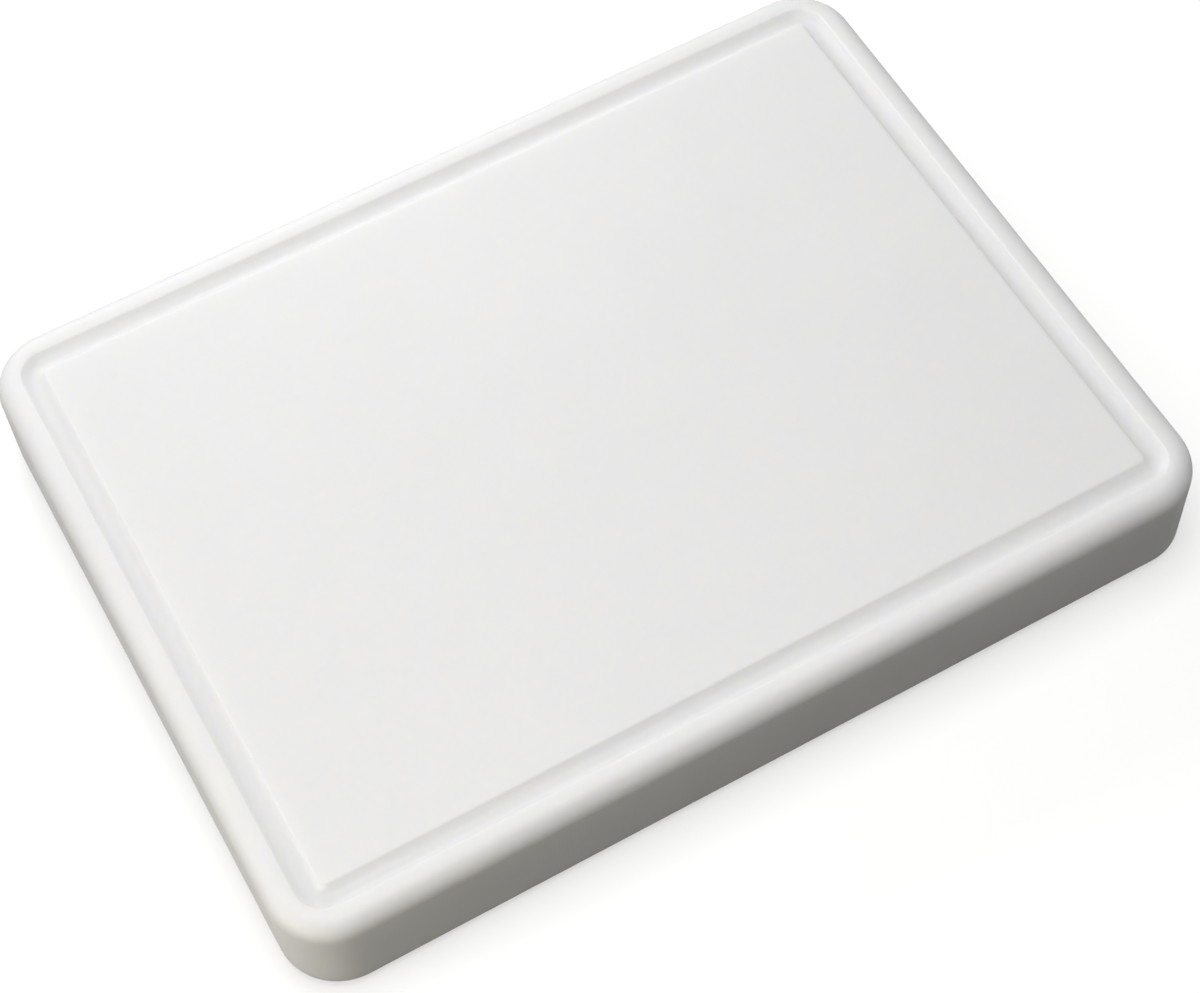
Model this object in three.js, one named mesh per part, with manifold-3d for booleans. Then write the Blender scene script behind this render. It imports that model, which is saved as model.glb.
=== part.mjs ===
// Thick polyethylene cutting board with a juice groove and four screwed-on rubber feet.
// Millimetres, +Z up. The origin is on the supporting surface, under the centre of the board.
// +X runs along the board's long side and -Y is the front.

import * as THREE from 'three';
import { mergeVertices } from 'three/addons/utils/BufferGeometryUtils.js';
import Module from 'manifold-3d';

// ---- Driving dimensions -------------------------------------------------------------------

const BOARD_LENGTH = 400;
const BOARD_WIDTH = 300;
const BOARD_THICKNESS = 45;
const CORNER_RADIUS = 25;
const TOP_ROUND_OVER = 8;
const BOTTOM_EDGE_BREAK = 1;

const GROOVE_INSET = 16; // from the board's side to the groove's centre line
const GROOVE_DEPTH = 3;
const GROOVE_TOOL_RADIUS = 5; // round-nosed cutter
const GROOVE_TOOL_FLAT = 0.25; // half the width of the cutter's flat tip
const GROOVE_CORNER_RADIUS = 7; // of the centre line

const FOOT_INSET = 40; // from the board's sides to a foot's axis
const FOOT_STANDOFF = 5; // gap between the underside and the supporting surface
const FOOT_TOP_RADIUS = 11.7;
const FOOT_BASE_RADIUS = 10;
const FOOT_BASE_EDGE = 0.8;
const FOOT_BORE_RADIUS = 2.5;

const WASHER_OUTER_RADIUS = 4.8;
const WASHER_INNER_RADIUS = 2.4;
const WASHER_THICKNESS = 1;

const SCREW_SHANK_RADIUS = 2;
const SCREW_LENGTH = 18; // under the head
const SCREW_TIP_LENGTH = 2.5;
const SCREW_HEAD_RADIUS = 3.8;
const SCREW_HEAD_HEIGHT = 2.2;
const SCREW_HEAD_PROFILE = [[0.6, 0], [0.88, 0.15], [1, 0.5]]; // shares of head radius and height
const SCREW_SLOT_LENGTH = 3.8;
const SCREW_SLOT_WIDTH = 0.9;
const SCREW_SLOT_DEPTH = 1.3;

const GAP = 0.3; // between pieces that touch
const COUNTERBORE_CLEARANCE = 0.4; // round the washer
const HEAD_CLEARANCE = 0.8; // between the screw head and the supporting surface
const RECESS_DEPTH = 2; // each foot sits this deep in the underside
const CUTTER_OVERRUN = 16; // how far cutting and joining bodies run past the faces they meet

const CORNER_STEPS = 5; // each quarter turn of an outline has twice as many sides
const ROUND_OVER_STEPS = 6;
const EDGE_BREAK_STEPS = 2;
const GROOVE_STEPS = 8;
const FOOT_SIDES = 32;
const SCREW_SIDES = 20;

// ---- Worked-out dimensions ----------------------------------------------------------------

const HEAD_SEAT_Z = SCREW_HEAD_HEIGHT + HEAD_CLEARANCE;
const WASHER_Z = HEAD_SEAT_Z + GAP;
const COUNTERBORE_CEILING_Z = WASHER_Z + WASHER_THICKNESS + GAP;
const COUNTERBORE_RADIUS = WASHER_OUTER_RADIUS + COUNTERBORE_CLEARANCE;
const FOOT_TOP_Z = FOOT_STANDOFF + RECESS_DEPTH - GAP;
const SCREW_TIP_Z = HEAD_SEAT_Z + SCREW_LENGTH;

// ---- Materials ----------------------------------------------------------------------------

function boardMaterial() {
  return new THREE.MeshStandardMaterial({ color: 0xf1f1ee, roughness: 0.42, metalness: 0 });
}

function rubberMaterial() {
  return new THREE.MeshStandardMaterial({ color: 0x3a3b3c, roughness: 0.85, metalness: 0 });
}

function steelMaterial() {
  return new THREE.MeshStandardMaterial({ color: 0xb9bbbd, roughness: 0.32, metalness: 1 });
}

// ---- Solids -------------------------------------------------------------------------------

const wasm = await Module();
wasm.setup();

// Turns a closed three.js geometry into a solid for joining and cutting.
function toSolid(geometry) {
  const bare = geometry.clone();
  bare.deleteAttribute('normal');
  bare.deleteAttribute('uv');
  const merged = mergeVertices(bare);
  const corners = [];
  for (let i = 0; i < merged.index.count; i += 3) {
    const triangle = [0, 1, 2].map((k) => merged.index.getX(i + k));
    if (new Set(triangle).size === 3) corners.push(...triangle);
  }
  return new wasm.Manifold(new wasm.Mesh({
    numProp: 3,
    vertProperties: new Float32Array(merged.attributes.position.array),
    triVerts: new Uint32Array(corners),
  }));
}

function toGeometry(solid) {
  const mesh = solid.getMesh();
  const geometry = new THREE.BufferGeometry();
  geometry.setAttribute('position', new THREE.BufferAttribute(mesh.vertProperties, 3));
  geometry.setIndex(new THREE.BufferAttribute(mesh.triVerts, 1));
  geometry.computeVertexNormals();
  return geometry;
}

// A rectangle with round corners, centred on the origin, whose sides lie inset from the board's.
function roundedRectangle(Path, inset, radius) {
  const x = BOARD_LENGTH / 2 - inset;
  const y = BOARD_WIDTH / 2 - inset;
  const path = new Path();
  path.moveTo(x, radius - y);
  path.absarc(x - radius, y - radius, radius, 0, Math.PI / 2);
  path.absarc(radius - x, y - radius, radius, Math.PI / 2, Math.PI);
  path.absarc(radius - x, radius - y, radius, Math.PI, 1.5 * Math.PI);
  path.absarc(x - radius, radius - y, radius, 1.5 * Math.PI, 2 * Math.PI);
  return path;
}

// A plate from zLow to zHigh whose upper and lower edges are rounded inwards by radius.
function roundEdgedPlate(shape, zLow, zHigh, radius, steps) {
  const geometry = new THREE.ExtrudeGeometry(shape, {
    depth: zHigh - zLow - 2 * radius,
    curveSegments: CORNER_STEPS,
    bevelThickness: radius,
    bevelSize: radius,
    bevelOffset: -radius,
    bevelSegments: steps,
  });
  geometry.translate(0, 0, zLow + radius);
  return toSolid(geometry);
}

// A body turned about +Z from (radius, height) points listed upwards along its outside.
function turned(points, sides) {
  const profile = points.map(([radius, height]) => new THREE.Vector2(radius, height));
  const geometry = new THREE.LatheGeometry(profile, sides);
  geometry.rotateX(Math.PI / 2);
  return toSolid(geometry);
}

// ---- Board slab ---------------------------------------------------------------------------

// Two plates share the board's outline: one has the large round-over at the top, the other the
// small edge break at the bottom. Each runs past the board at its other end.
function boardBlank() {
  const outline = roundedRectangle(THREE.Shape, 0, CORNER_RADIUS);
  const top = roundEdgedPlate(
    outline, -CUTTER_OVERRUN, BOARD_THICKNESS, TOP_ROUND_OVER, ROUND_OVER_STEPS,
  );
  const bottom = roundEdgedPlate(
    outline, 0, BOARD_THICKNESS + CUTTER_OVERRUN, BOTTOM_EDGE_BREAK, EDGE_BREAK_STEPS,
  );
  return top.intersect(bottom);
}

// The ring that a round-nosed cutter sweeps along the groove's centre line.
function grooveCutter() {
  const reach = GROOVE_TOOL_RADIUS + GROOVE_TOOL_FLAT;
  const ring = roundedRectangle(THREE.Shape, GROOVE_INSET - reach, GROOVE_CORNER_RADIUS + reach);
  ring.holes.push(
    roundedRectangle(THREE.Path, GROOVE_INSET + reach, GROOVE_CORNER_RADIUS - reach),
  );
  const floor = BOARD_THICKNESS - GROOVE_DEPTH;
  const ceiling = BOARD_THICKNESS + CUTTER_OVERRUN;
  return roundEdgedPlate(ring, floor, ceiling, GROOVE_TOOL_RADIUS, GROOVE_STEPS);
}

// The round recess for a foot, and the pilot hole for its screw, as one turned body.
function footSeatCutter() {
  const recessRadius = FOOT_TOP_RADIUS + GAP;
  const pilotRadius = SCREW_SHANK_RADIUS + GAP;
  const pilotEnd = SCREW_TIP_Z - FOOT_STANDOFF + GAP;
  return turned([
    [0, -CUTTER_OVERRUN],
    [recessRadius, -CUTTER_OVERRUN],
    [recessRadius, RECESS_DEPTH],
    [pilotRadius, RECESS_DEPTH],
    [pilotRadius, pilotEnd],
    [0, pilotEnd + pilotRadius],
  ], FOOT_SIDES);
}

function boardSlab(footPlaces) {
  let solid = boardBlank().subtract(grooveCutter());
  for (const { x, y } of footPlaces) {
    solid = solid.subtract(footSeatCutter().translate([x, y, 0]));
  }
  const mesh = new THREE.Mesh(toGeometry(solid), boardMaterial());
  mesh.name = 'board_slab';
  mesh.position.z = FOOT_STANDOFF;
  return mesh;
}

// ---- Feet ---------------------------------------------------------------------------------

function foot(place) {
  const solid = turned([
    [COUNTERBORE_RADIUS, 0],
    [FOOT_BASE_RADIUS - FOOT_BASE_EDGE, 0],
    [FOOT_BASE_RADIUS, FOOT_BASE_EDGE],
    [FOOT_TOP_RADIUS, FOOT_STANDOFF],
    [FOOT_TOP_RADIUS, FOOT_TOP_Z],
    [FOOT_BORE_RADIUS, FOOT_TOP_Z],
    [FOOT_BORE_RADIUS, COUNTERBORE_CEILING_Z],
    [COUNTERBORE_RADIUS, COUNTERBORE_CEILING_Z],
    [COUNTERBORE_RADIUS, 0],
  ], FOOT_SIDES);
  const mesh = new THREE.Mesh(toGeometry(solid), rubberMaterial());
  mesh.name = `foot_${place}`;
  return mesh;
}

function washer(place) {
  const solid = turned([
    [WASHER_INNER_RADIUS, 0],
    [WASHER_OUTER_RADIUS, 0],
    [WASHER_OUTER_RADIUS, WASHER_THICKNESS],
    [WASHER_INNER_RADIUS, WASHER_THICKNESS],
    [WASHER_INNER_RADIUS, 0],
  ], SCREW_SIDES);
  const mesh = new THREE.Mesh(toGeometry(solid), steelMaterial());
  mesh.name = `foot_washer_${place}`;
  mesh.position.z = WASHER_Z;
  return mesh;
}

// The screw points up, so its domed head and cross slot face the supporting surface.
function screw(place) {
  const headLow = HEAD_SEAT_Z - SCREW_HEAD_HEIGHT;
  const dome = SCREW_HEAD_PROFILE.map(([across, up]) => (
    [across * SCREW_HEAD_RADIUS, headLow + up * SCREW_HEAD_HEIGHT]
  ));
  let solid = turned([
    [0, headLow],
    ...dome,
    [SCREW_HEAD_RADIUS, HEAD_SEAT_Z],
    [SCREW_SHANK_RADIUS, HEAD_SEAT_Z],
    [SCREW_SHANK_RADIUS, SCREW_TIP_Z - SCREW_TIP_LENGTH],
    [0, SCREW_TIP_Z],
  ], SCREW_SIDES);
  for (const angle of [0, Math.PI / 2]) {
    const slot = new THREE.BoxGeometry(SCREW_SLOT_LENGTH, SCREW_SLOT_WIDTH, 2 * SCREW_SLOT_DEPTH);
    slot.rotateZ(angle);
    slot.translate(0, 0, headLow);
    solid = solid.subtract(toSolid(slot));
  }
  const mesh = new THREE.Mesh(toGeometry(solid), steelMaterial());
  mesh.name = `foot_screw_${place}`;
  return mesh;
}

function footAssembly({ place, x, y }) {
  const group = new THREE.Group();
  group.position.set(x, y, 0);
  group.add(foot(place), washer(place), screw(place));
  return group;
}

// ---- Assembly -----------------------------------------------------------------------------

const FOOT_X = BOARD_LENGTH / 2 - FOOT_INSET;
const FOOT_Y = BOARD_WIDTH / 2 - FOOT_INSET;
const FOOT_PLACES = [
  { place: 'front_left', x: -FOOT_X, y: -FOOT_Y },
  { place: 'front_right', x: FOOT_X, y: -FOOT_Y },
  { place: 'back_left', x: -FOOT_X, y: FOOT_Y },
  { place: 'back_right', x: FOOT_X, y: FOOT_Y },
];

const cuttingBoard = new THREE.Group();
cuttingBoard.add(boardSlab(FOOT_PLACES));
cuttingBoard.add(...FOOT_PLACES.map(footAssembly));

export default cuttingBoard;
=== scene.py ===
import math

import bmesh
import bpy
from mathutils import Matrix, Vector


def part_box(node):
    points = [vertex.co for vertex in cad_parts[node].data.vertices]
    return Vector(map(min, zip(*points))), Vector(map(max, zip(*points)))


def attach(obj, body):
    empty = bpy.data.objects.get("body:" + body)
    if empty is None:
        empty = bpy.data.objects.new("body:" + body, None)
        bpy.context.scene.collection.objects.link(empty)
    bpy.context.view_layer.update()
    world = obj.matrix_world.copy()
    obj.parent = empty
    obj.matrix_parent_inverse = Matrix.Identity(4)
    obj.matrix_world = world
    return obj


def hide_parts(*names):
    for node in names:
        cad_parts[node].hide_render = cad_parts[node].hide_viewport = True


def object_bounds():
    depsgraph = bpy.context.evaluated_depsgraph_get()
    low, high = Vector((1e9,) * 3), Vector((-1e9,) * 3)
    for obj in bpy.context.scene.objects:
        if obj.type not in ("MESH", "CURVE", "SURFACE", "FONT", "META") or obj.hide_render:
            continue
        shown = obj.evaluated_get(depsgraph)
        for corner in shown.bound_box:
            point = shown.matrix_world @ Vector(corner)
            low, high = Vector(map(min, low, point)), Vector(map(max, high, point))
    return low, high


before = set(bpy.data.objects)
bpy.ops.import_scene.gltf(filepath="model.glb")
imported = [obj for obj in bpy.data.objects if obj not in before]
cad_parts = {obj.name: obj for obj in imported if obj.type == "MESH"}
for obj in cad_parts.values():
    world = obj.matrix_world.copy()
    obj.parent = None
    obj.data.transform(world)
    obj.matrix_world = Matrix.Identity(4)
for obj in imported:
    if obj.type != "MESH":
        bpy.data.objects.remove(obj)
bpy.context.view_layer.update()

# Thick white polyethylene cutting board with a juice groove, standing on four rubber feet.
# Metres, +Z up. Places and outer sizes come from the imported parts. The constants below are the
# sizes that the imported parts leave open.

MM = 0.001
PLACES = ("front_left", "front_right", "back_left", "back_right")
GAP = 0.3 * MM

# Board slab
CORNER_RADIUS = 25 * MM
TOP_ROUND_OVER = 8 * MM
BOTTOM_EDGE_BREAK = 1 * MM
GROOVE_INSET = 16 * MM
GROOVE_DEPTH = 3 * MM
GROOVE_TOOL_RADIUS = 5 * MM
GROOVE_CORNER_RADIUS = 7 * MM
GROOVE_SHOULDER = 1.3 * MM
RECESS_DEPTH = 2 * MM
PILOT_RADIUS = 2.3 * MM
PILOT_TIP_RADIUS = 0.02 * MM

# Feet
FOOT_TAPER = 1.7 * MM
FOOT_EDGE = 0.8 * MM
FOOT_TOP_CHAMFER = 0.2 * MM
PAD_RING_SHARES = (0.25, 0.75)
PAD_RING_DEPTH = 0.35 * MM
PAD_RING_HALF_MOUTH = 0.35 * MM
PAD_RING_HALF_BOTTOM = 0.2 * MM
COUNTERBORE_RADIUS = 5.2 * MM
COUNTERBORE_CEILING = 4.6 * MM
COUNTERBORE_CHAMFER = 0.3 * MM
FOOT_BORE_RADIUS = 2.5 * MM

# Washers and screws
WASHER_BORE_SHARE = 0.5
WASHER_EDGE_BREAK = 0.15 * MM
HEAD_DOME_SHARE = 0.55
HEAD_EDGE_BREAK = 0.1 * MM
NECK_RADIUS = 1.65 * MM
NECK_LENGTH = 1.2 * MM
CORE_RADIUS = 1.45 * MM
THREAD_HEIGHT = 0.5 * MM
THREAD_PITCH = 1.6 * MM
THREAD_HALF_WIDTH = 0.22
TIP_LENGTH = 3 * MM
TIP_RADIUS = 0.05 * MM
# (height above the head's face, reach, half width) at the mouth and the bottom of the cross recess
CROSS_RECESS = ((-0.3 * MM, 2.05 * MM, 0.5 * MM), (1.3 * MM, 1.1 * MM, 0.36 * MM))

# Fineness of the meshes
CORNER_STEPS = 24
SIDE_STEPS = 12
WALL_STEPS = 8
EDGE_STEPS = 6
ROUND_OVER_STEPS = 16
HOLLOW_STEPS = 24
HOLE_SIDES = 64
FOOT_SIDES = 96
SCREW_SIDES = 40
DOME_STEPS = 10
SHANK_STEPS = 110

# Surfaces
CUTTER_FEED = 1.7 * MM
RIPPLE_DEPTH = 0.006 * MM
SKIN_DEPTH = 0.03 * MM
GLOW_DEPTH = 6 * MM

# Camera: angles in degrees, the lens in millimetres of a 36 mm wide frame
CAMERA_AZIMUTH = -25.7
CAMERA_ELEVATION = 58.87
CAMERA_ROLL = -3.88
CAMERA_DISTANCE = 1.0396
CAMERA_TARGET = (-13 * MM, -36.6 * MM)
CAMERA_LENS = 79.98
CAMERA_FRAME = 36

# Studio: name, azimuth, elevation, distance, size, power and colour of each soft box
WHITE = (1, 1, 1)
PALE = (1.0, 0.98, 0.94)
WARM = (1.0, 0.93, 0.70)
SOFT_BOXES = (
    ("back", 180, 30, 0.9, (0.6, 0.4), 2.95, WHITE),
    ("left", 270, 20, 1.6, (0.8, 0.6), 4.6, WHITE),
    ("left_high", 270, 55, 1.6, (0.8, 0.8), 0.9, WHITE),
    ("top", 0, 89.9, 1.6, (1.2, 1.2), 15.0, WHITE),
    ("front_left_near", 300, 15, 0.6, (0.25, 0.25), 0.34, WARM),
    ("front_high", 335, 60, 1.0, (0.6, 0.6), 0.95, PALE),
    ("right_low", 100, 8, 1.6, (0.8, 0.4), 1.3, WHITE),
)
WORLD_COLOUR = (1, 0.93, 0.74, 1)
WORLD_STRENGTH = 0.03
FLOOR_DISCS = (0.6, 1.6)
FLOOR_COLOUR = (0.6, 0.6, 0.6, 1)
FLOOR_ROUGHNESS = 0.9
FLOOR_GLOW = 0.56
COVE_RADIUS = 3.2
COVE_BEND = 1.2
COVE_HEIGHT = 4.0
COVE_STEPS = 12
COVE_SIDES = 96


# ---- Mesh helpers --------------------------------------------------------------------------


def arc(centre, radius, start, end, steps):
    """Points (a, b) on an arc, from one angle to the other, both ends included."""
    angles = [start + (end - start) * i / steps for i in range(steps + 1)]
    return [(centre[0] + radius * math.cos(t), centre[1] + radius * math.sin(t)) for t in angles]


def rounded_rectangle(half_x, half_y, radius):
    """An outline round the origin, anticlockwise, with the same number of points at any size."""
    points = []
    for quarter, (sx, sy) in enumerate(((1, 1), (-1, 1), (-1, -1), (1, -1))):
        centre = (sx * (half_x - radius), sy * (half_y - radius))
        start = quarter * math.pi / 2
        points += arc(centre, radius, start, start + math.pi / 2, CORNER_STEPS)
    outline = []
    for i, point in enumerate(points):
        outline.append(point)
        if i % (CORNER_STEPS + 1) == CORNER_STEPS:
            following = points[(i + 1) % len(points)]
            for k in range(1, SIDE_STEPS):
                share = k / SIDE_STEPS
                outline.append(tuple(a + (b - a) * share for a, b in zip(point, following)))
    return outline


def stitch(bm, ring, following):
    """Quads between two rings of the same length."""
    count = len(ring)
    for i in range(count):
        k = (i + 1) % count
        bm.faces.new((ring[i], ring[k], following[k], following[i]))


def circle(bm, centre, radius, z, sides):
    """A level ring of points."""
    ring = []
    for i in range(sides):
        angle = i * (2 * math.pi / sides)
        x = centre.x + radius * math.cos(angle)
        y = centre.y + radius * math.sin(angle)
        ring.append(bm.verts.new((x, y, z)))
    return ring


def turned(bm, profile, sides):
    """A ring-shaped body turned about Z from a closed outline of (radius, height) points."""
    rings = [circle(bm, Vector(), radius, z, sides) for radius, z in profile]
    for ring, following in zip(rings, rings[1:] + rings[:1]):
        stitch(bm, ring, following)


def finished_mesh(name, bm, sharp_degrees=35):
    """Closes a bmesh into a mesh with outward faces, smooth but for its sharp edges."""
    bmesh.ops.recalc_face_normals(bm, faces=bm.faces)
    for edge in bm.edges:
        edge.smooth = edge.calc_face_angle(0) < math.radians(sharp_degrees)
    for face in bm.faces:
        face.smooth = True
    mesh = bpy.data.meshes.new(name)
    bm.to_mesh(mesh)
    bm.free()
    return mesh


def add_piece(name, mesh, material, node, location=(0, 0, 0)):
    """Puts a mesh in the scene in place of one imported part."""
    piece = bpy.data.objects.new(name, mesh)
    piece.location = location
    bpy.context.scene.collection.objects.link(piece)
    if not mesh.materials:
        mesh.materials.append(material)
    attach(piece, "root")
    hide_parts(node)
    return piece


def middle(node):
    low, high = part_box(node)
    return (Vector(low) + Vector(high)) / 2


# ---- Board slab ----------------------------------------------------------------------------


def side_profile(thickness):
    """(inset from the side, height) points from the underside up to the inner end of the rim."""
    wall_bottom, wall_top = BOTTOM_EDGE_BREAK, thickness - TOP_ROUND_OVER
    bottom = arc((wall_bottom, wall_bottom), wall_bottom, 1.5 * math.pi, math.pi, EDGE_STEPS)
    climb = wall_top - wall_bottom
    wall = [(0, wall_bottom + climb * k / WALL_STEPS) for k in range(1, WALL_STEPS)]
    top = arc((TOP_ROUND_OVER, wall_top), TOP_ROUND_OVER, math.pi, math.pi / 2, ROUND_OVER_STEPS)
    return bottom + wall + top


def groove_profile(thickness):
    """(inset, height) points across the groove, with a rounded shoulder at either side."""
    drop = GROOVE_TOOL_RADIUS - GROOVE_DEPTH + GROOVE_SHOULDER
    reach = math.sqrt((GROOVE_TOOL_RADIUS + GROOVE_SHOULDER) ** 2 - drop**2)
    tilt = math.atan2(drop, reach)
    z = thickness - GROOVE_SHOULDER
    outer = arc((GROOVE_INSET - reach, z), GROOVE_SHOULDER, math.pi / 2, tilt, EDGE_STEPS)
    inner = arc((GROOVE_INSET + reach, z), GROOVE_SHOULDER, math.pi - tilt, math.pi / 2, EDGE_STEPS)
    tool = (GROOVE_INSET, z + drop)
    hollow = arc(tool, GROOVE_TOOL_RADIUS, math.pi + tilt, 2 * math.pi - tilt, HOLLOW_STEPS)
    return outer + hollow[1:-1] + inner


def board_rings(bm, size):
    """Rings of points from the underside, up the side, over the rim and through the groove."""
    half_x, half_y, thickness = size.x / 2, size.y / 2, size.z
    sides = [(inset, z, CORNER_RADIUS - inset) for inset, z in side_profile(thickness)]
    reach = GROOVE_CORNER_RADIUS + GROOVE_INSET
    groove = [(inset, z, reach - inset) for inset, z in groove_profile(thickness)]
    inner_inset, inner_z, inner_radius = groove[-1]
    support = [(inner_inset + GROOVE_SHOULDER, inner_z, inner_radius - GROOVE_SHOULDER)]
    underside = [(2 * BOTTOM_EDGE_BREAK, 0, CORNER_RADIUS - 2 * BOTTOM_EDGE_BREAK)]
    rings = []
    for inset, z, radius in underside + sides + groove + support:
        outline = rounded_rectangle(half_x - inset, half_y - inset, radius)
        rings.append([bm.verts.new((x, y, z)) for x, y in outline])
    return rings


def foot_seat(bm, centre, recess_radius, pilot_depth):
    """The recess and pilot hole in the underside. Returns the ring at the mouth."""
    mouth = circle(bm, centre, recess_radius, 0, HOLE_SIDES)
    steps = (
        (recess_radius, RECESS_DEPTH),
        (PILOT_RADIUS, RECESS_DEPTH),
        (PILOT_RADIUS, pilot_depth),
        (PILOT_TIP_RADIUS, pilot_depth + PILOT_RADIUS),
    )
    ring = mouth
    for radius, z in steps:
        following = circle(bm, centre, radius, z, HOLE_SIDES)
        stitch(bm, ring, following)
        ring = following
    bm.faces.new(ring)
    return mouth


def ring_edges(bm, ring):
    """The edges of a ring that already carries faces on one side."""
    return [bm.edges.get(pair) for pair in zip(ring, ring[1:] + ring[:1])]


def make_board(material):
    low, high = (Vector(corner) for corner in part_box("board_slab"))
    bm = bmesh.new()
    rings = board_rings(bm, high - low)
    for ring, following in zip(rings, rings[1:]):
        stitch(bm, ring, following)
    bm.faces.new(rings[-1])
    mouths = []
    for place in PLACES:
        foot_low, foot_high = (Vector(corner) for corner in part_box(f"foot_{place}"))
        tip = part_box(f"foot_screw_{place}")[1][2]
        recess_radius = (foot_high.x - foot_low.x) / 2 + GAP
        mouths.append(foot_seat(bm, middle(f"foot_{place}"), recess_radius, tip - low.z + GAP))
    edges = [edge for ring in [rings[0]] + mouths for edge in ring_edges(bm, ring)]
    bmesh.ops.triangle_fill(bm, use_beauty=True, use_dissolve=False, edges=edges)
    add_piece("board", finished_mesh("board", bm), material, "board_slab", (0, 0, low.z))


# ---- Feet, washers and screws --------------------------------------------------------------


def foot_profile(top_radius, height, standoff):
    """Closed (radius, height) outline of a foot: ringed pad, tapered side, top and bore."""
    pad_outer = top_radius - FOOT_TAPER - FOOT_EDGE
    pad = [(COUNTERBORE_RADIUS + COUNTERBORE_CHAMFER, 0)]
    for share in PAD_RING_SHARES:
        radius = COUNTERBORE_RADIUS + share * (pad_outer - COUNTERBORE_RADIUS)
        pad += [
            (radius - PAD_RING_HALF_MOUTH, 0),
            (radius - PAD_RING_HALF_BOTTOM, PAD_RING_DEPTH),
            (radius + PAD_RING_HALF_BOTTOM, PAD_RING_DEPTH),
            (radius + PAD_RING_HALF_MOUTH, 0),
        ]
    edge = arc((pad_outer, FOOT_EDGE), FOOT_EDGE, -math.pi / 2, 0, EDGE_STEPS)
    side = [
        (top_radius, standoff),
        (top_radius, height - FOOT_TOP_CHAMFER),
        (top_radius - FOOT_TOP_CHAMFER, height),
    ]
    bore = [
        (FOOT_BORE_RADIUS, height),
        (FOOT_BORE_RADIUS, COUNTERBORE_CEILING),
        (COUNTERBORE_RADIUS, COUNTERBORE_CEILING),
        (COUNTERBORE_RADIUS, COUNTERBORE_CHAMFER),
    ]
    return pad + edge + side + bore


def make_turned_piece(name, node, profile, sides, material):
    bm = bmesh.new()
    turned(bm, profile, sides)
    centre = middle(node)
    add_piece(name, finished_mesh(node, bm), material, node, (centre.x, centre.y, 0))


def make_foot(place, material):
    node = f"foot_{place}"
    low, high = (Vector(corner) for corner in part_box(node))
    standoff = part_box("board_slab")[0][2]
    profile = foot_profile((high.x - low.x) / 2, high.z, standoff)
    make_turned_piece(f"rubber_foot_{place}", node, profile, FOOT_SIDES, material)


def make_washer(place, material):
    node = f"foot_washer_{place}"
    low, high = (Vector(corner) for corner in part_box(node))
    outer = (high.x - low.x) / 2
    inner = outer * WASHER_BORE_SHARE
    e = WASHER_EDGE_BREAK
    profile = [
        (inner, low.z + e), (inner + e, low.z), (outer - e, low.z), (outer, low.z + e),
        (outer, high.z - e), (outer - e, high.z), (inner + e, high.z), (inner, high.z - e),
    ]
    make_turned_piece(f"washer_{place}", node, profile, HOLE_SIDES, material)


def screw_stations(head_low, head_high, tip, head_radius):
    """(height, radius, thread height) from the domed head up the shank to the tip."""
    dome_height = (head_high - head_low) * HEAD_DOME_SHARE
    stations = []
    for k in range(1, DOME_STEPS + 1):
        t = math.pi / 2 * k / DOME_STEPS
        stations.append((head_low + dome_height * (1 - math.cos(t)), head_radius * math.sin(t), 0))
    stations.append((head_high - HEAD_EDGE_BREAK, head_radius, 0))
    stations.append((head_high, head_radius - HEAD_EDGE_BREAK, 0))
    stations.append((head_high, NECK_RADIUS, 0))
    start, taper = head_high + NECK_LENGTH, tip - TIP_LENGTH
    for k in range(SHANK_STEPS + 1):
        z = start + (tip - start) * k / SHANK_STEPS
        keep = 1 if z < taper else (tip - z) / (tip - taper)
        grow = min(1, (z - start) / THREAD_PITCH)
        thread = THREAD_HEIGHT * grow * math.sqrt(keep)
        stations.append((z, max(CORE_RADIUS * keep, TIP_RADIUS), thread))
    return stations


def thread_ridge(turns):
    """How far up the thread's ridge a point lies, 0 to 1, by its turns along the helix."""
    away = abs((turns + 0.5) % 1 - 0.5)
    return max(0, 1 - away / THREAD_HALF_WIDTH)


def screw_blank(head_low, head_high, tip, head_radius):
    """The screw without its cross recess."""
    bm = bmesh.new()
    rings = []
    for z, radius, thread in screw_stations(head_low, head_high, tip, head_radius):
        ring = []
        for i in range(SCREW_SIDES):
            angle = 2 * math.pi * i / SCREW_SIDES
            r = radius + thread * thread_ridge(z / THREAD_PITCH - i / SCREW_SIDES)
            ring.append(bm.verts.new((r * math.cos(angle), r * math.sin(angle), z)))
        rings.append(ring)
    for ring, following in zip(rings, rings[1:]):
        stitch(bm, ring, following)
    bm.faces.new(rings[0])
    bm.faces.new(rings[-1])
    return finished_mesh("screw_body", bm)


def make_screw_mesh(head_low, head_high, tip, head_radius):
    blank = screw_blank(head_low, head_high, tip, head_radius)
    body = bpy.data.objects.new("screw_body", blank)
    cross = finished_mesh("screw_cross", cross_cutter(head_low))
    cutter = bpy.data.objects.new("screw_cross", cross)
    for thing in (body, cutter):
        bpy.context.scene.collection.objects.link(thing)
    cut = body.modifiers.new("cross", "BOOLEAN")
    cut.operation = "DIFFERENCE"
    cut.solver = "EXACT"
    cut.object = cutter
    depsgraph = bpy.context.evaluated_depsgraph_get()
    mesh = bpy.data.meshes.new_from_object(body.evaluated_get(depsgraph))
    mesh.name = "screw"
    for thing in (body, cutter):
        bpy.data.objects.remove(thing)
    return mesh


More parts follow.
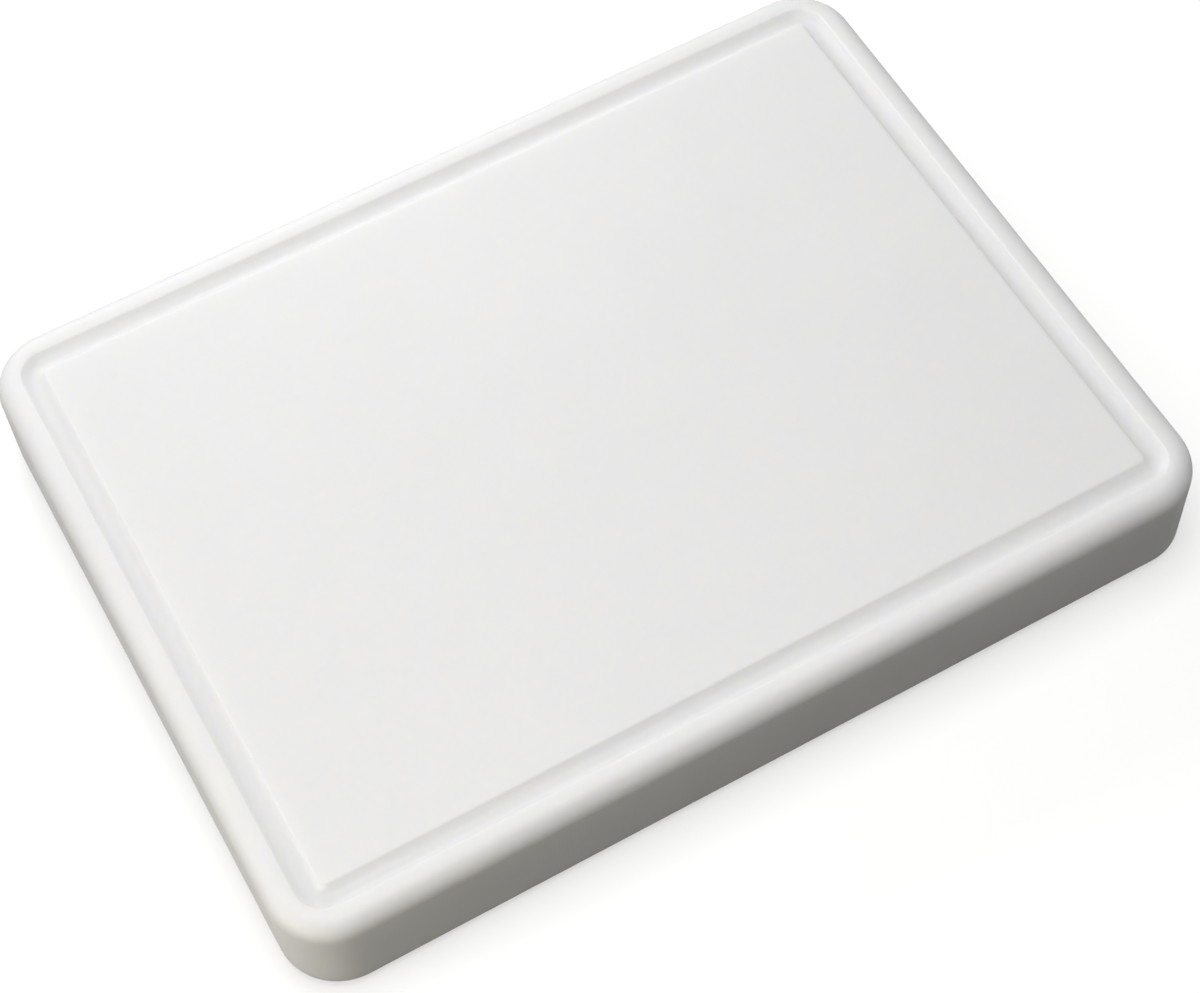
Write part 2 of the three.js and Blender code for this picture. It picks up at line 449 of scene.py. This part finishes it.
def cross_cutter(head_low):
    """A plus sign that narrows as it goes up into the head."""
    bm = bmesh.new()
    rings = []
    for z, reach, half in CROSS_RECESS:
        corners = []
        for quarter in range(4):
            turn = Matrix.Rotation(quarter * math.pi / 2, 2)
            corners += [turn @ Vector(p) for p in ((reach, -half), (reach, half), (half, half))]
        rings.append([bm.verts.new((c.x, c.y, head_low + z)) for c in corners])
    stitch(bm, rings[0], rings[1])
    bm.faces.new(rings[0])
    bm.faces.new(rings[1])
    return bm


def make_screws(material):
    low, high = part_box("foot_screw_front_left")
    head_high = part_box("foot_washer_front_left")[0][2] - GAP
    mesh = make_screw_mesh(low[2], head_high, high[2], (high[0] - low[0]) / 2)
    mesh.materials.append(material)
    for place in PLACES:
        node = f"foot_screw_{place}"
        centre = middle(node)
        add_piece(f"screw_{place}", mesh, material, node, (centre.x, centre.y, 0))


# ---- Materials -----------------------------------------------------------------------------


class Nodes:
    """A short way to write a material's nodes."""

    def __init__(self, name):
        self.material = bpy.data.materials.new(name)
        self.material.use_nodes = True
        self.tree = self.material.node_tree
        self.shader = self.tree.nodes["Principled BSDF"]
        coordinates = self.add("ShaderNodeTexCoord")
        self.place = coordinates.outputs["Object"]
        self.facing = coordinates.outputs["Normal"]
        self.pointiness = self.add("ShaderNodeNewGeometry").outputs["Pointiness"]

    def add(self, kind, values=None, **properties):
        node = self.tree.nodes.new(kind)
        for key, value in properties.items():
            setattr(node, key, value)
        for key, value in (values or {}).items():
            self.put(node.inputs[key], value)
        return node

    def put(self, socket, value):
        if isinstance(value, bpy.types.NodeSocket):
            self.tree.links.new(value, socket)
        else:
            socket.default_value = value

    def noise(self, scale, detail=2.0, roughness=0.5, place=None):
        values = {"Vector": place or self.place, "Scale": scale, "Detail": detail, "Roughness": roughness}
        return self.add("ShaderNodeTexNoise", values).outputs["Fac"]

    def math(self, operation, *values):
        return self.add("ShaderNodeMath", dict(enumerate(values)), operation=operation).outputs[0]

    def between(self, value, low, high, to_low, to_high):
        values = {"Value": value, "From Min": low, "From Max": high, "To Min": to_low, "To Max": to_high}
        return self.add("ShaderNodeMapRange", values).outputs["Result"]

    def mix(self, share, first, second):
        node = self.add("ShaderNodeMix", data_type="RGBA")
        self.put(node.inputs["Factor"], share)
        self.put(node.inputs["A"], first)
        self.put(node.inputs["B"], second)
        return node.outputs["Result"]

    def bump(self, height, distance, strength, normal=None):
        values = {"Height": height, "Distance": distance, "Strength": strength}
        if normal is not None:
            values["Normal"] = normal
        return self.add("ShaderNodeBump", values).outputs["Normal"]

    def shade(self, **values):
        for key, value in values.items():
            self.put(self.shader.inputs[key.replace("_", " ")], value)


def polyethylene():
    """White board plastic: translucent, with a pebbled, planed skin and cutter marks on its sides."""
    n = Nodes("white_polyethylene")
    split = n.add("ShaderNodeSeparateXYZ", {"Vector": n.place})
    facing = n.add("ShaderNodeSeparateXYZ", {"Vector": n.facing})
    level = n.math("ABSOLUTE", facing.outputs["Z"])
    machined = n.between(level, 0.35, 0.9, 1, 0)

    along = n.math("ADD", split.outputs["X"], split.outputs["Y"])
    turns = n.math("MULTIPLY", along, 2 * math.pi / CUTTER_FEED)
    sweep = n.math("MULTIPLY_ADD", n.noise(40, 2), 0.3, turns)
    ripple = n.math("MULTIPLY", n.math("SINE", sweep), machined)

    stretched = n.add("ShaderNodeVectorMath", {0: n.place, 1: (0.05, 1, 1)}, operation="MULTIPLY")
    planed = n.noise(1500, 3, 0.6, stretched.outputs[0])
    pebbles = n.noise(1000, 3, 0.55)
    skin = n.math("MULTIPLY_ADD", planed, 0.35, pebbles)
    handled = n.noise(26, 5, 0.6)
    gloss = n.between(handled, 0.3, 0.7, 0.40, 0.47)
    worn = n.between(n.pointiness, 0.505, 0.54, 0, -0.06)

    cloud = n.between(n.noise(14, 4), 0.3, 0.7, 0, 1)
    tint = n.mix(cloud, (0.893, 0.894, 0.904, 1), (0.909, 0.909, 0.920, 1))
    speck = n.between(n.noise(420, 1), 0.72, 0.78, 0, 0.10)
    n.shade(
        Base_Color=n.mix(speck, tint, (0.80, 0.79, 0.74, 1)),
        Roughness=n.math("ADD", n.math("MULTIPLY_ADD", planed, 0.05, gloss), worn),
        Normal=n.bump(ripple, RIPPLE_DEPTH, 1.0, n.bump(skin, SKIN_DEPTH, 0.4)),
        IOR=1.5,
        Subsurface_Weight=1.0,
        Subsurface_Radius=(1.0, 0.95, 0.8),
        Subsurface_Scale=GLOW_DEPTH,
    )
    return n.material


def rubber():
    n = Nodes("foot_rubber")
    grain = n.noise(2500, 3, 0.6)
    dust = n.between(n.noise(220, 4), 0.45, 0.75, 0, 0.35)
    n.shade(
        Base_Color=n.mix(dust, (0.038, 0.039, 0.041, 1), (0.10, 0.10, 0.098, 1)),
        Roughness=n.between(grain, 0.3, 0.7, 0.7, 0.88),
        Normal=n.bump(grain, 0.05 * MM, 0.4),
    )
    return n.material


def steel():
    n = Nodes("stainless_steel")
    brushed = n.noise(1800, 4, 0.7)
    n.shade(
        Base_Color=n.mix(brushed, (0.50, 0.505, 0.51, 1), (0.62, 0.62, 0.615, 1)),
        Roughness=n.between(brushed, 0.3, 0.7, 0.24, 0.38),
        Normal=n.bump(brushed, 0.01 * MM, 0.3),
    )
    n.shader.inputs["Metallic"].default_value = 1.0
    return n.material


# ---- Stage ---------------------------------------------------------------------------------


def direction(azimuth, elevation):
    """Unit vector from the object towards a viewer at the given azimuth and elevation."""
    a, e = math.radians(azimuth), math.radians(elevation)
    return Vector((math.sin(a) * math.cos(e), -math.cos(a) * math.cos(e), math.sin(e)))


def make_camera():
    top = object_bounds()[1].z
    target = Vector((*CAMERA_TARGET, top))
    back = direction(CAMERA_AZIMUTH, CAMERA_ELEVATION)
    data = bpy.data.cameras.new("camera")
    data.lens = CAMERA_LENS
    data.sensor_width = CAMERA_FRAME
    camera = bpy.data.objects.new("camera", data)
    camera.rotation_mode = "QUATERNION"
    roll = Matrix.Rotation(math.radians(CAMERA_ROLL), 3, "Z")
    turn = (-back).to_track_quat("-Z", "Y").to_matrix() @ roll
    camera.rotation_quaternion = turn.to_quaternion()
    camera.location = target + back * CAMERA_DISTANCE
    bpy.context.scene.collection.objects.link(camera)
    bpy.context.scene.camera = camera


def soft_box(name, azimuth, elevation, distance, size, power, colour):
    data = bpy.data.lights.new(name, "AREA")
    data.shape = "RECTANGLE"
    data.size, data.size_y = size
    data.energy = power
    data.color = colour
    lamp = bpy.data.objects.new(name, data)
    away = direction(azimuth, elevation)
    lamp.location = away * distance
    lamp.rotation_mode = "QUATERNION"
    lamp.rotation_quaternion = (-away).to_track_quat("-Z", "Y")
    lamp.visible_camera = False
    bpy.context.scene.collection.objects.link(lamp)


def make_world():
    world = bpy.data.worlds.new("studio")
    world.use_nodes = True
    background = world.node_tree.nodes["Background"]
    background.inputs["Color"].default_value = WORLD_COLOUR
    background.inputs["Strength"].default_value = WORLD_STRENGTH
    bpy.context.scene.world = world


def make_floor():
    """A pale studio cove: a flat floor that curves up into a wall all round, open from below."""
    bm = bmesh.new()
    profile = [(radius, 0) for radius in FLOOR_DISCS]
    profile += arc((COVE_RADIUS, COVE_BEND), COVE_BEND, -math.pi / 2, 0, COVE_STEPS)
    profile.append((COVE_RADIUS + COVE_BEND, COVE_HEIGHT))
    rings = [circle(bm, Vector(), radius, z, COVE_SIDES) for radius, z in profile]
    bm.faces.new(rings[0])
    for ring, following in zip(rings, rings[1:]):
        stitch(bm, following, ring)
    for face in bm.faces:
        face.smooth = True
    mesh = bpy.data.meshes.new("floor")
    bm.to_mesh(mesh)
    bm.free()
    floor = bpy.data.objects.new("floor", mesh)
    floor.location.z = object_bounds()[0].z
    n = Nodes("floor")
    n.shade(Base_Color=FLOOR_COLOUR, Roughness=FLOOR_ROUGHNESS)
    n.shade(Emission_Color=(*WHITE, 1), Emission_Strength=FLOOR_GLOW)
    clear = n.add("ShaderNodeBsdfTransparent").outputs[0]
    from_below = n.add("ShaderNodeNewGeometry").outputs["Backfacing"]
    both = n.add("ShaderNodeMixShader", {0: from_below, 1: n.shader.outputs[0], 2: clear})
    n.tree.links.new(both.outputs[0], n.tree.nodes["Material Output"].inputs["Surface"])
    n.material.cycles.emission_sampling = "NONE"
    mesh.materials.append(n.material)
    floor.visible_diffuse = False
    bpy.context.scene.collection.objects.link(floor)


def main():
    make_camera()
    plastic, pad, metal = polyethylene(), rubber(), steel()
    make_board(plastic)
    for place in PLACES:
        make_foot(place, pad)
        make_washer(place, metal)
    make_screws(metal)
    make_floor()
    make_world()
    for values in SOFT_BOXES:
        soft_box(*values)
    bpy.context.scene.view_settings.view_transform = "Standard"


main()
